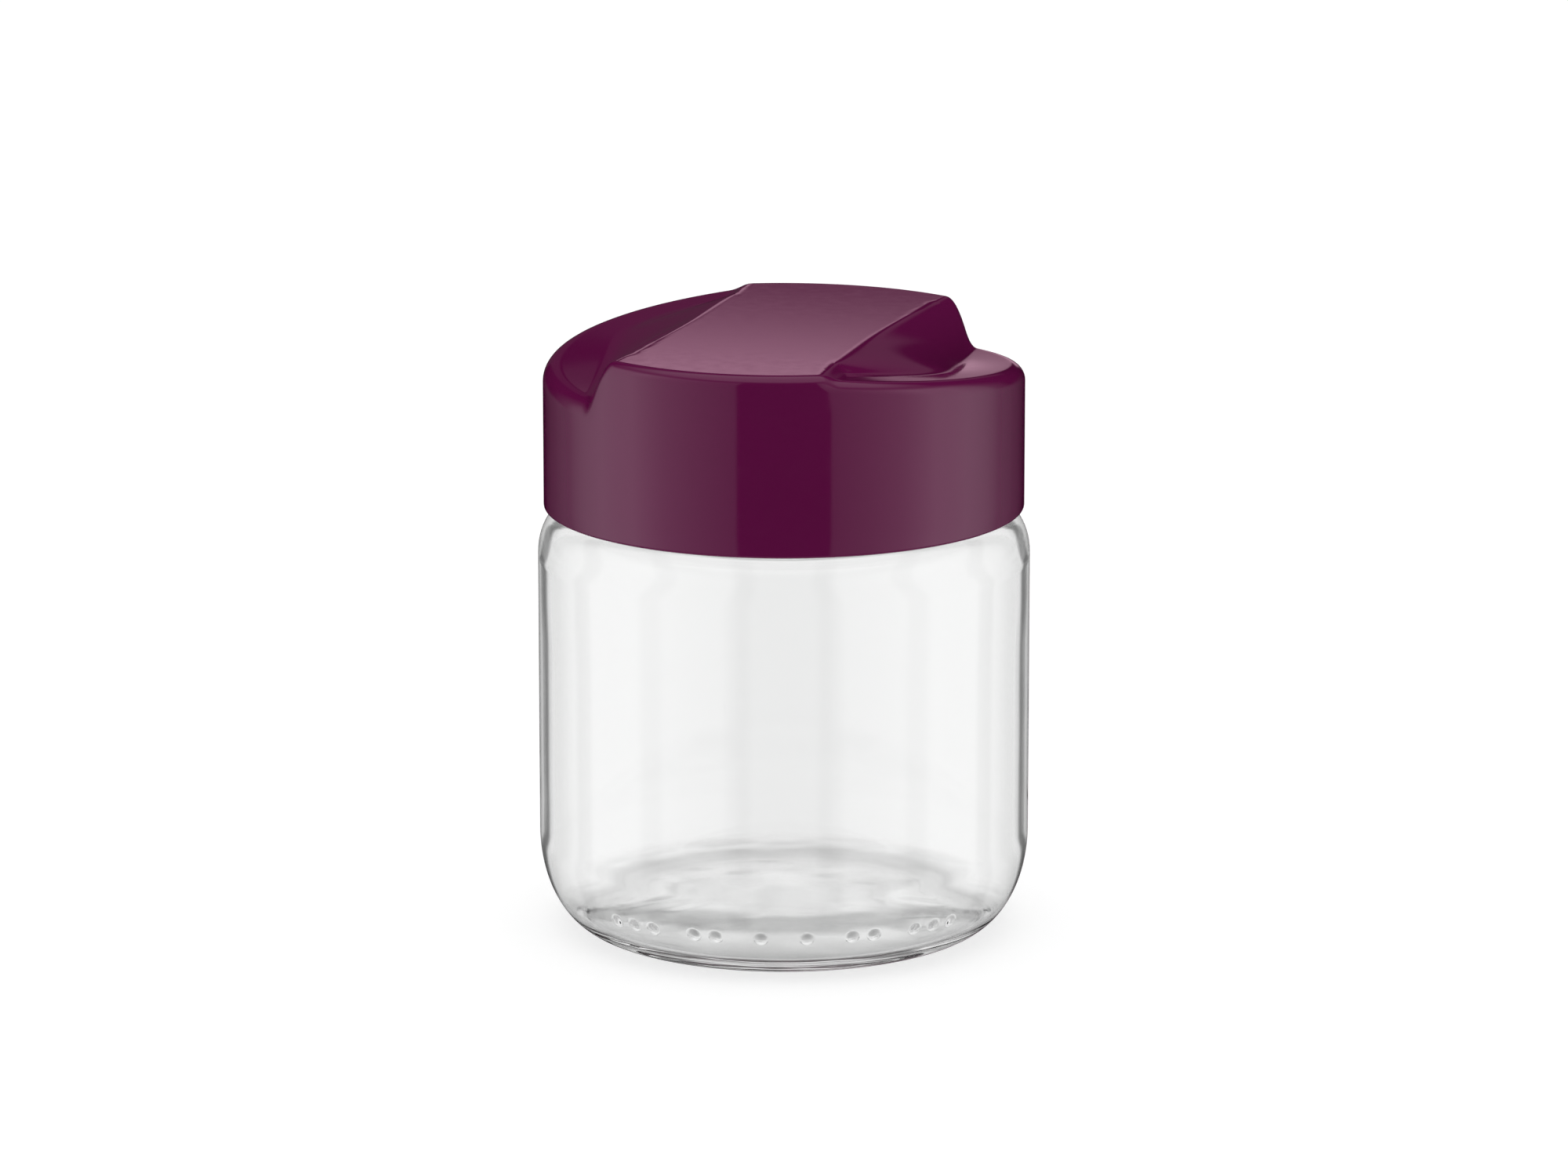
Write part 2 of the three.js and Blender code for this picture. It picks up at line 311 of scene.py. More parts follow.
def ramp(tree, value, stops):
    """A level that follows the stops, each a place from 0 to 1 and a level."""
    made = node(tree, "ShaderNodeValToRGB", None, {"Fac": value})
    elements = made.color_ramp.elements
    while len(elements) < len(stops):
        elements.new(1.0)
    for element, (place, level) in zip(elements, stops):
        element.position = place
        element.color = (level, level, level, 1)
    return made.outputs["Color"]


def dimmed(tree, level, share):
    """A level with a share of it taken off."""
    return maths(tree, "MULTIPLY", level, maths(tree, "SUBTRACT", 1.0, share))


def diagonal(tree, first, second):
    """The length across two distances at a right angle."""
    squares = maths(tree, "ADD", maths(tree, "POWER", first, 2.0), maths(tree, "POWER", second, 2.0))
    return maths(tree, "SQRT", squares)


def mix_level(tree, factor, first, second):
    """A number that goes from first to second with the factor."""
    made = node(tree, "ShaderNodeMix", None, {"Factor": factor, "A": first, "B": second})
    return made.outputs["Result"]


def mix_colour(tree, factor, first, second):
    """A colour that goes from first to second with the factor."""
    made = node(tree, "ShaderNodeMix", {"data_type": "RGBA"})
    feed(tree, made.inputs["Factor"], factor)
    feed(tree, made.inputs[6], first)
    feed(tree, made.inputs[7], second)
    return made.outputs[2]


# Mesh helpers

def new_object(name, data):
    """A new object in the scene, at the origin."""
    made = bpy.data.objects.new(name, data)
    bpy.context.scene.collection.objects.link(made)
    return made


def arc(centre_radius, centre_height, run, rise, from_degrees, to_degrees, steps):
    """Points along part of an ellipse in the plane of a revolved outline."""
    angles = np.radians(np.linspace(from_degrees, to_degrees, steps + 1))
    return np.column_stack((centre_radius + run * np.cos(angles), centre_height + rise * np.sin(angles)))


def corner(centre_radius, centre_height, rounding, from_degrees, to_degrees, steps):
    """Points along a round corner of an outline."""
    return arc(centre_radius, centre_height, rounding, rounding, from_degrees, to_degrees, steps)


def dome(radii, edge_radius, edge_height, rise):
    """Points of a shallow dome at these radii, level with its edge and highest on the axis."""
    return np.column_stack((radii, edge_height + rise * (1 - (radii / edge_radius) ** 2)))


def line(start, end, steps):
    """Points along a straight stretch of an outline, without its two ends."""
    share = np.linspace(0, 1, steps + 1)[1:-1, None]
    return (1 - share) * np.array(start) + share * np.array(end)


def even_turn(segments, start=0.0, span=2 * math.pi):
    """Angles spread evenly round the axis, or over a part of the turn without its end."""
    return start + span * np.arange(segments) / segments


def revolved(outline, angles):
    """Points of an outline of radius and height set round the axis, as segments by rings by 3."""
    angles = angles[:, None]
    radius, height = outline[:, 0], outline[:, 1]
    x, y = radius * np.cos(angles), radius * np.sin(angles)
    return np.stack((x, y, np.broadcast_to(height, x.shape)), axis=2)


def round_piece(name, rings, poles=None):
    """A closed smooth piece through rings of points set round the axis, between two poles or as a loop."""
    segments, count = rings.shape[:2]
    index = np.arange(segments * count).reshape(segments, count)
    beside = np.roll(index, -1, axis=0)
    if poles is None:
        index = np.column_stack((index, index[:, 0]))
        beside = np.column_stack((beside, beside[:, 0]))
    faces = np.stack((index[:, :-1], index[:, 1:], beside[:, 1:], beside[:, :-1]), axis=2)
    faces = faces.reshape(-1, 4).tolist()
    points = rings.reshape(-1, 3).tolist()
    if poles is not None:
        first, last = len(points), len(points) + 1
        points += [list(pole) for pole in poles]
        faces += [(first, a, b) for a, b in zip(index[:, 0].tolist(), beside[:, 0].tolist())]
        faces += [(last, b, a) for a, b in zip(index[:, -1].tolist(), beside[:, -1].tolist())]
    mesh = bpy.data.meshes.new(name)
    mesh.from_pydata(points, [], faces)
    mesh.polygons.foreach_set("use_smooth", np.ones(len(mesh.polygons), bool))
    mesh.update()
    return new_object(name, mesh)


def mark(piece, name, rings):
    """Stores a share from 0 to 1 on the piece's points, given for segments by rings, and 0 at the poles."""
    attribute = piece.data.attributes.new(name, "FLOAT", "POINT")
    shares = np.zeros(len(piece.data.vertices), np.float32)
    shares[:rings.size] = rings.ravel()
    attribute.data.foreach_set("value", shares)


# Geometry Nodes

def new_geometry_tree(name, sizes):
    """A tree with a named input for each size and for the material, and its input and output nodes."""
    tree = bpy.data.node_groups.new(name, "GeometryNodeTree")
    tree.interface.new_socket("Geometry", in_out="INPUT", socket_type="NodeSocketGeometry")
    for size in sizes:
        tree.interface.new_socket(size, in_out="INPUT", socket_type="NodeSocketFloat")
    tree.interface.new_socket("Material", in_out="INPUT", socket_type="NodeSocketMaterial")
    tree.interface.new_socket("Geometry", in_out="OUTPUT", socket_type="NodeSocketGeometry")
    return tree, node(tree, "NodeGroupInput").outputs, node(tree, "NodeGroupOutput").inputs


def point_place(tree):
    """The place of each point, as X, Y and Z."""
    position = node(tree, "GeometryNodeInputPosition").outputs["Position"]
    return node(tree, "ShaderNodeSeparateXYZ", None, {"Vector": position}).outputs


def finish_geometry_tree(tree, given, result, direction, height):
    """Moves the points by a height in a direction, realizes the result and gives it its material."""
    offset = node(tree, "ShaderNodeVectorMath", {"operation": "SCALE"}, {0: direction, "Scale": height})
    moved = node(tree, "GeometryNodeSetPosition", None,
                 {"Geometry": given["Geometry"], "Offset": offset.outputs["Vector"]})
    real = node(tree, "GeometryNodeRealizeInstances", None, {"Geometry": moved.outputs["Geometry"]})
    finished = node(tree, "GeometryNodeSetMaterial", None,
                    {"Geometry": real.outputs["Geometry"], "Material": given["Material"]})
    tree.links.new(finished.outputs["Geometry"], result["Geometry"])


def marked(tree, name):
    """The share that a piece's points hold under a name."""
    made = node(tree, "GeometryNodeInputNamedAttribute", {"data_type": "FLOAT"}, {"Name": name})
    return made.outputs["Attribute"]


def thread_tree():
    """Raises helical ridges on the points marked threaded, towards the axis if the height is negative."""
    sizes = ("Lead", "Starts", "Phase", "Low", "High", "Run Out", "Ridge Height", "Ridge Width")
    tree, given, result = new_geometry_tree("screw_thread", sizes)
    place = point_place(tree)
    turns = maths(tree, "DIVIDE", maths(tree, "ARCTAN2", place["Y"], place["X"]), 2 * math.pi)
    climbed = maths(tree, "MULTIPLY_ADD", turns, given["Lead"], given["Phase"])
    half_pitch = maths(tree, "DIVIDE", maths(tree, "DIVIDE", given["Lead"], given["Starts"]), 2)
    from_crest = maths(tree, "WRAP", maths(tree, "SUBTRACT", place["Z"], climbed), half_pitch,
                       maths(tree, "MULTIPLY", half_pitch, -1))
    half_width = maths(tree, "DIVIDE", given["Ridge Width"], 2)
    half_crest = maths(tree, "DIVIDE", half_width, CREST_NARROWING)
    ridge = ease(tree, maths(tree, "ABSOLUTE", from_crest), half_width, half_crest)
    starts = ease(tree, place["Z"], given["Low"], maths(tree, "ADD", given["Low"], given["Run Out"]))
    ends = ease(tree, place["Z"], given["High"], maths(tree, "SUBTRACT", given["High"], given["Run Out"]))
    share = maths(tree, "MULTIPLY", maths(tree, "MULTIPLY", ridge, starts), ends)
    share = maths(tree, "MULTIPLY", share, marked(tree, "threaded"))
    height = maths(tree, "MULTIPLY", share, given["Ridge Height"])
    flat = node(tree, "ShaderNodeCombineXYZ", None, {"X": place["X"], "Y": place["Y"]}).outputs["Vector"]
    outward = node(tree, "ShaderNodeVectorMath", {"operation": "NORMALIZE"}, {0: flat}).outputs["Vector"]
    finish_geometry_tree(tree, given, result, outward, height)
    return tree


def dot_tree():
    """Raises round dots on the points marked heel, at counted steps from the front on both sides."""
    tree, given, result = new_geometry_tree("mould_dots", ("Pitch", "Level", "Dot Radius", "Dot Height"))
    place = point_place(tree)
    side = maths(tree, "ABSOLUTE", place["X"])
    angle = maths(tree, "ARCTAN2", side, maths(tree, "MULTIPLY", place["Y"], -1))
    step = maths(tree, "ROUND", maths(tree, "DIVIDE", angle, given["Pitch"]))
    present = 0.0
    for dot_step in DOT_STEPS:
        present = maths(tree, "ADD", present, maths(tree, "COMPARE", step, float(dot_step), 0.5))
    dot_angle = maths(tree, "MULTIPLY", step, given["Pitch"])
    radius = diagonal(tree, place["X"], place["Y"])
    beside = maths(tree, "MULTIPLY", maths(tree, "SUBTRACT", angle, dot_angle), radius)
    above = maths(tree, "SUBTRACT", place["Z"], given["Level"])
    reach = maths(tree, "DIVIDE", diagonal(tree, beside, above), given["Dot Radius"])
    cap = maths(tree, "MAXIMUM", maths(tree, "SUBTRACT", 1.0, maths(tree, "POWER", reach, 2.0)), 0.0)
    share = maths(tree, "MULTIPLY", maths(tree, "MULTIPLY", cap, present), marked(tree, "heel"))
    normal = node(tree, "GeometryNodeInputNormal").outputs["Normal"]
    height = maths(tree, "MULTIPLY", share, given["Dot Height"])
    finish_geometry_tree(tree, given, result, normal, height)
    return tree


def run_tree(piece, tree, values):
    """Puts the piece through a tree with these inputs, and keeps the result as its plain mesh."""
    sockets = [item for item in tree.interface.items_tree if item.in_out == "INPUT"]
    identifiers = {socket.name: socket.identifier for socket in sockets}
    modifier = piece.modifiers.new(tree.name, "NODES")
    modifier.node_group = tree
    for name, value in values.items():
        modifier[identifiers[name]] = value
    graph = bpy.context.evaluated_depsgraph_get()
    finished = bpy.data.meshes.new_from_object(piece.evaluated_get(graph))
    piece.modifiers.remove(modifier)
    piece.data = finished


# Glass jar

def glass_outline():
    """Outline of the glass, from the inside floor up to the rim and down outside to the hollow underneath."""
    inner = BODY_RADIUS - BODY_WALL
    neck = BODY_RADIUS - SHOULDER_RUN
    neck_inner = neck - NECK_WALL
    shoulder_top = RIM_TOP - NECK_HEIGHT
    shoulder_start = shoulder_top - SHOULDER_RISE
    bearing_outer = BODY_RADIUS - HEEL_RUN
    bearing_inner = bearing_outer - BEARING_WIDTH
    floor_edge = PUSH_UP + BASE_THICKNESS - INNER_DOME
    floor_radius = inner - INNER_HEEL_RUN
    inner_heel_top = floor_edge + INNER_HEEL_RISE
    rim_level = RIM_TOP - RIM_ROUNDING
    floor_radii = np.linspace(0, floor_radius, FLOOR_STEPS + 1)[1:-1]
    hollow_radii = np.linspace(bearing_inner, 0, HOLLOW_STEPS + 1)[:-1]
    narrowed = np.linspace(0, 1, INNER_SHOULDER_STEPS + 1)
    inner_shoulder = np.column_stack((inner + (neck_inner - inner) * (1 - np.cos(math.pi * narrowed)) / 2,
                                      INNER_SHOULDER_LOW + INNER_SHOULDER_TALL * narrowed))
    stretches = (
        dome(floor_radii, floor_radius, floor_edge, INNER_DOME),
        arc(floor_radius, inner_heel_top, INNER_HEEL_RUN, INNER_HEEL_RISE, -90, 0, INNER_HEEL_STEPS),
        line((inner, inner_heel_top), (inner, INNER_SHOULDER_LOW), INNER_WALL_STEPS),
        inner_shoulder,
        corner(neck_inner + RIM_ROUNDING, rim_level, RIM_ROUNDING, 180, 90, GLASS_RIM_STEPS),
        corner(neck - RIM_ROUNDING, rim_level, RIM_ROUNDING, 90, 0, GLASS_RIM_STEPS),
        line((neck, rim_level), (neck, shoulder_top), NECK_STEPS),
        arc(neck, shoulder_start, SHOULDER_RUN, SHOULDER_RISE, 90, 0, SHOULDER_STEPS),
        line((BODY_RADIUS, shoulder_start), (BODY_RADIUS, HEEL_RISE), BODY_STEPS),
        *(arc(bearing_outer, HEEL_RISE, HEEL_RUN, HEEL_RISE, *stretch) for stretch in HEEL_ARCS),
        dome(hollow_radii, bearing_inner, 0, PUSH_UP),
    )
    poles = ((0, 0, floor_edge + INNER_DOME), (0, 0, PUSH_UP))
    return np.concatenate(stretches), poles


def glass_jar(thread, dots, finish):
    """The glass with its thread on the neck and its mould dots on the heel."""
    outline, poles = glass_outline()
    front = even_turn(FRONT_SEGMENTS, -math.pi / 2 - FRONT_SPAN / 2, FRONT_SPAN)
    rear = even_turn(REAR_SEGMENTS, -math.pi / 2 + FRONT_SPAN / 2, 2 * math.pi - FRONT_SPAN)
    rings = revolved(outline, np.concatenate((front, rear)))
    piece = round_piece("jar_glass", rings, poles)
    radius, height = outline[:, 0], outline[:, 1]
    shoulder_top = RIM_TOP - NECK_HEIGHT
    on_neck = (radius > BODY_RADIUS - SHOULDER_RUN - NECK_WALL / 2) & (height > shoulder_top)
    on_heel = np.abs(height - DOT_LEVEL) < 2 * DOT_RADIUS
    outside = np.arange(len(outline)) > np.argmax(height)
    everywhere = np.ones((len(rings), 1))
    mark(piece, "threaded", everywhere * (on_neck & outside))
    mark(piece, "heel", everywhere * (on_heel & outside))
    run_tree(piece, dots, {"Pitch": DOT_PITCH, "Level": DOT_LEVEL, "Dot Radius": DOT_RADIUS,
                           "Dot Height": DOT_HEIGHT, "Material": finish})
    run_tree(piece, thread, {"Lead": THREAD_LEAD, "Starts": THREAD_STARTS, "Phase": shoulder_top,
                             "Low": shoulder_top + NECK_THREAD_ABOVE, "High": RIM_TOP - NECK_THREAD_BELOW,
                             "Run Out": THREAD_RUN_OUT, "Ridge Height": NECK_RIDGE,
                             "Ridge Width": NECK_RIDGE_WIDTH, "Material": finish})
    return piece


# Lid

def rounded_ramp(distance, softness):
    """Zero before a corner and a straight rise after it, rounded over the softness on each side."""
    rounded = (distance + softness) ** 2 / (4 * softness)
    return np.where(distance <= -softness, 0.0, np.where(distance >= softness, distance, rounded))


def grip_place(x, y):
    """Across the band and along it, on the half that each point is in, and the angle round the lid there."""
    across = x * math.cos(GRIP_TILT) - y * math.sin(GRIP_TILT)
    along = x * math.sin(GRIP_TILT) + y * math.cos(GRIP_TILT)
    half = np.where(across < 0, -1.0, 1.0)
    return half * across, half * along, np.arctan2(half * y, half * x)


def grip_wall(along):
    """Where the wall beside the band has its top edge, and how far it runs to its foot."""
    edge = GRIP_HALF_WIDTH + along ** 2 / (2 * GRIP_EDGE_RADIUS)
    ledge = np.sqrt(np.maximum(0, LEDGE_RADIUS ** 2 - np.minimum(along, 0) ** 2))
    straight = WALL_FOOT_OFFSET - WALL_FOOT_SLOPE * along
    foot = (ledge + straight - np.hypot(ledge - straight, WALL_FOOT_CORNER)) / 2
    return edge, np.maximum(LEAST_WALL_RUN, foot - edge)


def wall_share(x, y):
    """How far down the wall a point lies: 0 at the band's edge, 1 at the foot."""
    across, along, _ = grip_place(x, y)
    edge, run = grip_wall(along)
    return (across - edge) / run


def ramp_depth(angle):
    """Depth of the ramp below the band, which grows round the lid from the ramp's start."""
    turned = np.mod(angle - RAMP_START + math.pi, 2 * math.pi) - math.pi
    share = np.clip(turned / RAMP_SPAN, 0, 1)
    return GRIP_RISE - (GRIP_RISE - RAMP_START_DROP) * (1 - share) ** RAMP_EASE


def top_height(x, y):
    """Height of the lid's top: slightly crowned along the band, down the wall, then along the ramp."""
    across, along, angle = grip_place(x, y)
    edge, run = grip_wall(along)
    share = np.clip(along / LID_RADIUS, 0, 1)
    tall = share * share * (3 - 2 * share)
    softness = EDGE_SOFTNESS_LOW + (EDGE_SOFTNESS_TALL - EDGE_SOFTNESS_LOW) * tall
    fallen = (rounded_ramp(across - edge, softness) - rounded_ramp(across - edge - run, FOOT_SOFTNESS)) / run
    band_drop = BAND_CROWN * (along / LID_RADIUS) ** 2
    return GRIP_TOP - band_drop - (ramp_depth(angle) - band_drop) * fallen


def ceiling_height(x, y):
    """Underside of the top, an even wall below it, and never lower than the room the plate needs."""
    height = top_height(x, y)
    slope_x = (top_height(x + SLOPE_STEP, y) - height) / SLOPE_STEP
    slope_y = (top_height(x, y + SLOPE_STEP) - height) / SLOPE_STEP
    even = height - TOP_WALL * np.sqrt(1 + slope_x ** 2 + slope_y ** 2)
    return np.maximum(even, plate_high.z + FIT_GAP)


def wall_crossing(cosine, sine, share, least, most):
    """Radius at which each ray from the axis passes the given share of the wall, within the limits."""
    low, high = least.copy(), most.copy()
    for _ in range(CROSSING_HALVINGS):
        middle = (low + high) / 2
        before = wall_share(middle * cosine, middle * sine) < share
        low = np.where(before, middle, low)
        high = np.where(before, high, middle)
    return high


def spread(start, end, count):
    """Evenly spaced values from start to end, without the start, as one row each."""
    share = np.arange(1, count + 1)[:, None] / count
    return start + (end - start) * share


def lid_rings():
    """Points of the lid as segments by rings: over the top, down the skirt and back inside to the ceiling."""
    angles = even_turn(LID_SEGMENTS)
    cosine, sine = np.cos(angles), np.sin(angles)
    rim_drop = GRIP_TOP - top_height(LID_RADIUS * cosine, LID_RADIUS * sine)
    rounding = LID_RIM_ROUNDING + LID_RIM_SOFTENING * rim_drop / GRIP_RISE
    top_radius = LID_RADIUS - rounding
    ledge_room = LEDGE_RINGS * LEAST_RING_STEP
    wall_room = WALL_RINGS * LEAST_RING_STEP
    axis = np.zeros(LID_SEGMENTS)
    before_edge, past_foot = WALL_RINGS_REACH
    edge = wall_crossing(cosine, sine, before_edge, axis, top_radius - ledge_room - wall_room)
    foot = wall_crossing(cosine, sine, past_foot, edge + wall_room, top_radius - ledge_room)
    radii = np.concatenate((spread(axis, edge, BAND_RINGS), spread(edge, foot, WALL_RINGS),
                            spread(foot, top_radius, LEDGE_RINGS)))
    heights = top_height(radii * cosine, radii * sine)
    turn = spread(0, math.pi / 2, RIM_RINGS)
    rim_radii = top_radius + rounding * np.sin(turn)
    rim_heights = top_height(rim_radii * cosine, rim_radii * sine) - rounding * (1 - np.cos(turn))
    bead_top = plate_high.z - PLATE_THICKNESS - FIT_GAP
    bead_middle = bead_top - SNAP_BEAD_HEIGHT / 2
    edge_round = SKIRT_EDGE_ROUNDING
    edge_level = LID_BOTTOM + edge_round
    inside = np.concatenate((
        corner(LID_RADIUS - edge_round, edge_level, edge_round, 0, -90, SKIRT_EDGE_STEPS),
        corner(SKIRT_INNER + edge_round, edge_level, edge_round, 270, 180, SKIRT_EDGE_STEPS),
        line((SKIRT_INNER, edge_level), (SKIRT_INNER, bead_top - SNAP_BEAD_HEIGHT), SKIRT_INNER_STEPS),
        arc(SKIRT_INNER, bead_middle, SNAP_BEAD_REACH, SNAP_BEAD_HEIGHT / 2, 270, 90, SNAP_BEAD_STEPS),
    ))
    skirt_top = rim_heights[-1]
    skirt = skirt_top + (edge_level - skirt_top) * (np.arange(1, SKIRT_RINGS)[:, None] / SKIRT_RINGS)
    inward = np.arange(CEILING_RINGS)[:, None] / CEILING_RINGS
    ceiling_radii = np.broadcast_to(SKIRT_INNER * (1 - inward), (CEILING_RINGS, LID_SEGMENTS))
    all_radii = np.concatenate((radii, rim_radii, np.full(skirt.shape, LID_RADIUS),
                                np.repeat(inside[:, :1], LID_SEGMENTS, axis=1), ceiling_radii))
    all_heights = np.concatenate((heights, rim_heights, skirt,
                                  np.repeat(inside[:, 1:], LID_SEGMENTS, axis=1),
                                  ceiling_height(ceiling_radii * cosine, ceiling_radii * sine)))
    return np.stack((all_radii * cosine, all_radii * sine, all_heights), axis=2).transpose(1, 0, 2)


def lid_shell(thread, finish):
    """The hollow lid with its sculpted grip and the thread inside its skirt."""
    rings = lid_rings()
    origin = np.zeros(1)
    poles = ((0, 0, top_height(origin, origin)[0]), (0, 0, ceiling_height(origin, origin)[0]))
    piece = round_piece("lid_grip", rings, poles)
    radius = np.hypot(rings[:, :, 0], rings[:, :, 1])
    on_wall = np.abs(radius - SKIRT_INNER) < SAME_PLACE
    mark(piece, "threaded", on_wall & (rings[:, :, 2] < plate_low.z))
    low = LID_BOTTOM + LID_THREAD_ABOVE
    run_tree(piece, thread, {"Lead": THREAD_LEAD, "Starts": THREAD_STARTS,
                             "Phase": RIM_TOP - NECK_HEIGHT + THREAD_LEAD / THREAD_STARTS / 2,
                             "Low": low, "High": low + LID_THREAD_TALL, "Run Out": THREAD_RUN_OUT,
                             "Ridge Height": -LID_RIDGE, "Ridge Width": LID_RIDGE_WIDTH, "Material": finish})
    return piece


def inner_plate(finish):
    """The disc that snaps into the lid, with the ring below it that drops into the mouth."""
    rounding, steps = PLATE_ROUNDING, PLATE_CORNER_STEPS
    low, high = plate_high.z - PLATE_THICKNESS, plate_high.z
    outer = PLATE_RADIUS - rounding
    plug_inner = PLUG_RADIUS - PLUG_WALL
    outline = np.concatenate((
        line((0, high), (outer, high), PLATE_STEPS),
        corner(outer, high - rounding, rounding, 90, 0, steps),
        corner(outer, low + rounding, rounding, 0, -90, steps),
        corner(PLUG_RADIUS + rounding, low - rounding, rounding, 90, 180, steps),
        corner(PLUG_RADIUS - rounding, plate_low.z + rounding, rounding, 0, -90, steps),
        corner(plug_inner + rounding, plate_low.z + rounding, rounding, 270, 180, steps),
        corner(plug_inner - rounding, low - rounding, rounding, 0, 90, steps),
        line((plug_inner - rounding, low), (0, low), PLATE_STEPS),
    ))
    poles = ((0, 0, high), (0, 0, low))
    piece = round_piece("lid_plate", revolved(outline, even_turn(ROUND_SEGMENTS)), poles)
    piece.data.materials.append(finish)
    return piece


def seal_ring(finish):
    """The soft ring between the plate and the glass rim."""
    inner, outer = SEAL_INNER + SEAL_ROUNDING, SEAL_RADIUS - SEAL_ROUNDING
    low, high = seal_low.z + SEAL_ROUNDING, seal_high.z - SEAL_ROUNDING
    corners = ((inner, high, 180), (outer, high, 90), (outer, low, 0), (inner, low, -90))
    outline = np.concatenate([
        corner(radius, height, SEAL_ROUNDING, start, start - 90, SEAL_CORNER_STEPS)
        for radius, height, start in corners
    ])
    piece = round_piece("lid_seal", revolved(outline, even_turn(ROUND_SEGMENTS)))
    piece.data.materials.append(finish)
    return piece


# Finishes

def moulded_surface_group():
    """Slow mottle, a spread of roughness and a faint ripple, for every moulded surface of the jar."""
    tree = bpy.data.node_groups.new("moulded_surface", "ShaderNodeTree")
    for name in ("Mottle Scale", "Ripple Scale", "Least Roughness", "Most Roughness"):
        tree.interface.new_socket(name, in_out="INPUT", socket_type="NodeSocketFloat")
    for name in ("Mottle", "Roughness", "Ripple"):
        tree.interface.new_socket(name, in_out="OUTPUT", socket_type="NodeSocketFloat")
    given = node(tree, "NodeGroupInput").outputs
    result = node(tree, "NodeGroupOutput").inputs
    place = node(tree, "ShaderNodeTexCoord").outputs["Object"]
    mottle = node(tree, "ShaderNodeTexNoise", None,
                  {"Vector": place, "Scale": given["Mottle Scale"], "Detail": 3.0, "Roughness": 0.6})
    fine_scale = maths(tree, "MULTIPLY", given["Mottle Scale"], FINE_GRAIN)
    fine = node(tree, "ShaderNodeTexNoise", None, {"Vector": place, "Scale": fine_scale, "Detail": 4.0})
    ripple = node(tree, "ShaderNodeTexNoise", None,
                  {"Vector": place, "Scale": given["Ripple Scale"], "Detail": 1.0})
    tree.links.new(mottle.outputs["Fac"], result["Mottle"])
    tree.links.new(ripple.outputs["Fac"], result["Ripple"])
    rough = node(tree, "ShaderNodeMapRange", None,
                 {"Value": fine.outputs["Fac"], "From Min": 0.3, "From Max": 0.7,
                  "To Min": given["Least Roughness"], "To Max": given["Most Roughness"]})
    tree.links.new(rough.outputs["Result"], result["Roughness"])
    return tree


def new_finish(name, group, values):
    """A material with its Principled shader and the moulded surface group set to these values."""
    finish = bpy.data.materials.new(name)
    finish.use_nodes = True
    tree = finish.node_tree
    surface = node(tree, "ShaderNodeGroup", {"node_tree": group}, values)
    return finish, tree, tree.nodes["Principled BSDF"], surface.outputs


def set_values(shader, values):
    """Sets plain values on a shader's own sockets."""
    for socket, value in values.items():
        shader.inputs[socket].default_value = value


def ripple_normal(tree, shader, height, strength, distance):
    """Gives the shader a normal from a height."""
    bump = node(tree, "ShaderNodeBump", None, {"Height": height, "Strength": strength, "Distance": distance})
    tree.links.new(bump.outputs["Normal"], shader.inputs["Normal"])


def moulded_finish(name, group, surface_values, colours, ripple, shader_values):
    """A material for a moulded piece, mottled between two colours."""
    finish, tree, shader, surface = new_finish(name, group, surface_values)
    tree.links.new(mix_colour(tree, surface["Mottle"], *colours), shader.inputs["Base Color"])
    tree.links.new(surface["Roughness"], shader.inputs["Roughness"])
    set_values(shader, shader_values)
    ripple_normal(tree, shader, surface["Ripple"], ripple, RIPPLE_HEIGHT)
    return finish


def lid_plastic(group):
    """High-gloss plum plastic."""
    return moulded_finish(
        "lid_plastic", group,
        {"Mottle Scale": 60.0, "Ripple Scale": 900.0, "Least Roughness": 0.05, "Most Roughness": 0.09},
        colours=((0.093, 0.0042, 0.0445, 1), (0.102, 0.0054, 0.0505, 1)), ripple=0.02,
        shader_values={"IOR": 1.5, "Specular IOR Level": 0.62, "Specular Tint": (1.0, 0.68, 0.83, 1)})


def plate_plastic(group):
    """Satin plum plastic."""
    return moulded_finish(
        "plate_plastic", group,
        {"Mottle Scale": 80.0, "Ripple Scale": 2500.0, "Least Roughness": 0.32, "Most Roughness": 0.42},
        colours=((0.105, 0.008, 0.05, 1), (0.125, 0.011, 0.06, 1)), ripple=0.2, shader_values={})


def seal_silicone(group):
    """Soft off-white silicone."""
    return moulded_finish(
        "seal_silicone", group,
        {"Mottle Scale": 120.0, "Ripple Scale": 3000.0, "Least Roughness": 0.5, "Most Roughness": 0.65},
        colours=((0.80, 0.78, 0.73, 1), (0.86, 0.84, 0.79, 1)), ripple=0.15,
        shader_values={"Subsurface Weight": 0.2, "Subsurface Radius": (0.002, 0.002, 0.0016)})


def clear_glass(group):
    """Clear soda-lime glass that lets the lamps' light through to the floor."""
    finish, tree, shader, surface = new_finish("clear_glass", group, {"Ripple Scale": 70.0})
    set_values(shader, {"Base Color": (0.955, 0.957, 0.956, 1), "Roughness": 0.0, "IOR": 1.52,
                        "Transmission Weight": 1.0})
    place = node(tree, "ShaderNodeTexCoord").outputs["Object"]
    height = node(tree, "ShaderNodeSeparateXYZ", None, {"Vector": place}).outputs["Z"]
    waves = ease(tree, height, *WAVE_LEVELS, *WAVE_STRENGTHS)
    ripple_normal(tree, shader, surface["Ripple"], waves, WAVE_HEIGHT)
    shadow = node(tree, "ShaderNodeLightPath").outputs["Is Shadow Ray"]
    through = node(tree, "ShaderNodeBsdfTransparent", None, {"Color": (0.93, 0.94, 0.94, 1)})
    mixed = node(tree, "ShaderNodeMixShader", None,
                 {0: shadow, 1: shader.outputs["BSDF"], 2: through.outputs["BSDF"]})
    tree.links.new(mixed.outputs["Shader"], tree.nodes["Material Output"].inputs["Surface"])
    return finish


